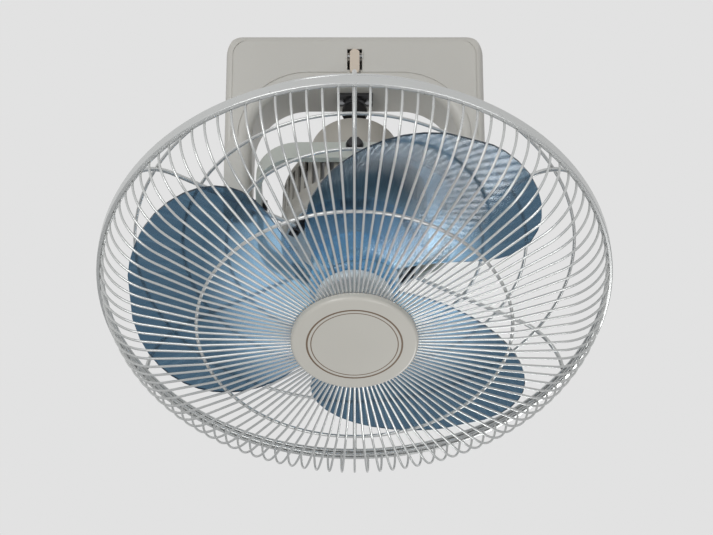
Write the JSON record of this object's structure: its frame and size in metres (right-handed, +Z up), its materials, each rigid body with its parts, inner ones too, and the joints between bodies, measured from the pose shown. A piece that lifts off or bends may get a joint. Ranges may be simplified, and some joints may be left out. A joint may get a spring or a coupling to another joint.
{
  "type": "ceiling fan",
  "caption": "Orbital ceiling fan: guarded blades and motor in a tilting gimbal ring under a flat housing with legs; a crank leads the head round in a circle.",
  "frame": {"origin": "on the ceiling, at the middle of the mounting plate's bolt pattern", "axes": "+Z up into the ceiling, +X along the line through the two pivots of the gimbal ring, and the head leans towards -Y at rest"},
  "size_m": [0.4554, 0.4127, 0.3892],
  "materials": {
    "shell": "fine satin",
    "ring": "satin",
    "motor": "satin",
    "guard": "bright plating",
    "badge": "satin",
    "blade": "translucent",
    "cap": "glossy",
    "steel": "zinc plated",
    "black": "satin",
    "rubber": "matt",
    "copper": "enamelled wire",
    "bronze": "sintered",
    "lever": "glossy",
    "black_steel": "black finish"
  },
  "bodies": {
    "housing": {"ceiling_plate": "steel", "support_frame": "steel", "housing_front": "shell", "housing_rear": "shell", "housing_screws": "steel", "pivot_pins": "black_steel", "pivot_collars": "black", "pivot_nuts": "steel", "ball_seat": "black", "seat_screws": "steel", "switch": "black", "terminal_block": "shell", "capacitor": "black", "cable_grommet": "rubber", "lever_pin": "steel"},
    "lever": {"orbit_lever": "lever"},
    "ring": {"gimbal_ring": "ring", "ring_bushes": "black", "tilt_bushes": "black"},
    "head": {"motor_front_cover": "motor", "motor_rear_cover": "motor", "cover_screws": "steel", "tilt_bolts": "black_steel", "stator_core": "steel", "stator_windings": "copper", "front_bearing": "bronze", "rear_bearing": "bronze", "gear_case": "motor", "gear_case_cover": "motor", "gear_case_screws": "steel", "orbit_motor": "steel", "rear_guard": "guard", "rear_plate": "guard", "rear_inner_ring": "guard", "rear_rings": "guard", "guard_clips": "black", "clip_screws": "black_steel", "guard_rim": "guard", "front_guard": "guard", "guard_rings": "guard", "badge": "badge", "badge_clamp": "black", "badge_screw": "steel"},
    "blades": {"rotor_core": "steel", "motor_shaft": "steel", "drive_pin": "steel", "blade_moulding": "blade", "nose_cap": "cap"},
    "crank": {"crank_shaft": "steel", "crank_arm": "black_steel", "crank_ball": "black_steel"}
  },
  "joints": [
    {"name": "ring_swing", "type": "hinge", "parent": "housing", "child": "ring", "pos_m": [0, 0, -0.165], "axis": [1, 0, 0], "range_deg": [0, 54]},
    {"name": "head_swing", "type": "hinge", "parent": "ring", "child": "head", "pos_m": [0, 0, -0.165], "axis": [0, 0.891, -0.454], "range_deg": [-27, 27]},
    {"name": "blade_spin", "type": "hinge", "parent": "head", "child": "blades", "pos_m": [0, 0, -0.165], "axis": [0, 0.454, 0.891], "continuous": true},
    {"name": "crank_spin", "type": "hinge", "parent": "head", "child": "crank", "pos_m": [0, 0, -0.165], "axis": [0, 0.454, 0.891], "continuous": true},
    {"name": "lever_swing", "type": "hinge", "parent": "housing", "child": "lever", "pos_m": [0, -0.027, -0.0235], "axis": [1, 0, 0], "range_deg": [-25, 0]}
  ]
}
